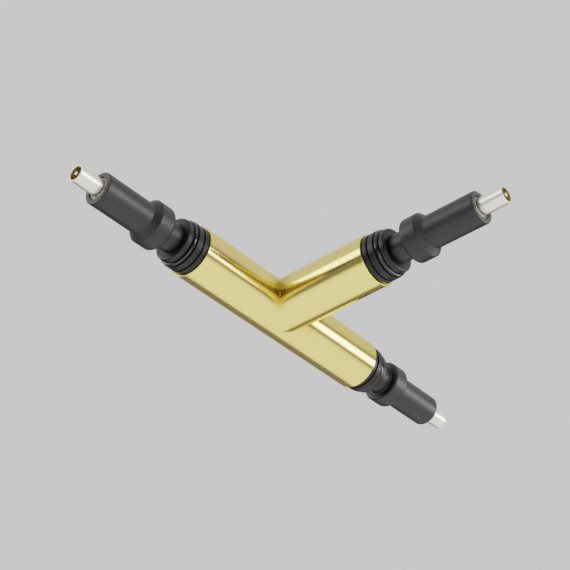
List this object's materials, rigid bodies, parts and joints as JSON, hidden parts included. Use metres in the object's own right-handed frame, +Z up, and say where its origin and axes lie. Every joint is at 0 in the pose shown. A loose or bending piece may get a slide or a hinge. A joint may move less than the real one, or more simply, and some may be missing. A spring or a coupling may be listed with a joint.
{
  "type": "three-way tube connector",
  "caption": "T-shaped brass tube connector with a dark plastic insert, O-ring and coaxial low-voltage contact at each tube end.",
  "frame": {"origin": "bottom centre of the whole connector, lying flat with its tubes on the ground plane; the tubes' axes cross at (0, -46, 10) mm", "axes": "+X along the straight run, +Y along the branch, +Z up out of the plane of the T"},
  "size_m": [0.204, 0.112, 0.02],
  "materials": {
    "brushed_brass": "satin brushed",
    "dark_plastic": "matte",
    "dark_plastic_moulding": "matte",
    "o_ring_rubber": "smooth, slightly oily",
    "silver_plating": "bright nickel plating",
    "pin_plating": "gold flash",
    "insulator_plastic": "smooth",
    "positive_insulation": "smooth PVC",
    "negative_insulation": "smooth PVC",
    "splice_metal": "tinned",
    "shrink_sleeve": "matte"
  },
  "bodies": {
    "root": {"main_tube": "brushed_brass", "branch_tube": "brushed_brass", "left_end_plug": "dark_plastic", "left_o_ring": "o_ring_rubber", "left_plug_body": "dark_plastic_moulding", "left_contact_barrel": "silver_plating", "left_contact_insulator": "insulator_plastic", "left_contact_pin": "pin_plating", "left_positive_lead": "positive_insulation", "left_negative_lead": "negative_insulation", "right_end_plug": "dark_plastic", "right_o_ring": "o_ring_rubber", "right_plug_body": "dark_plastic_moulding", "right_contact_barrel": "silver_plating", "right_contact_insulator": "insulator_plastic", "right_contact_pin": "pin_plating", "right_positive_lead": "positive_insulation", "right_negative_lead": "negative_insulation", "branch_end_plug": "dark_plastic", "branch_o_ring": "o_ring_rubber", "branch_plug_body": "dark_plastic_moulding", "branch_contact_barrel": "silver_plating", "branch_contact_insulator": "insulator_plastic", "branch_contact_pin": "pin_plating", "branch_positive_lead": "positive_insulation", "branch_negative_lead": "negative_insulation", "positive_splice": "splice_metal", "positive_splice_sleeve": "shrink_sleeve", "negative_splice": "splice_metal", "negative_splice_sleeve": "shrink_sleeve"}
  },
  "joints": []
}
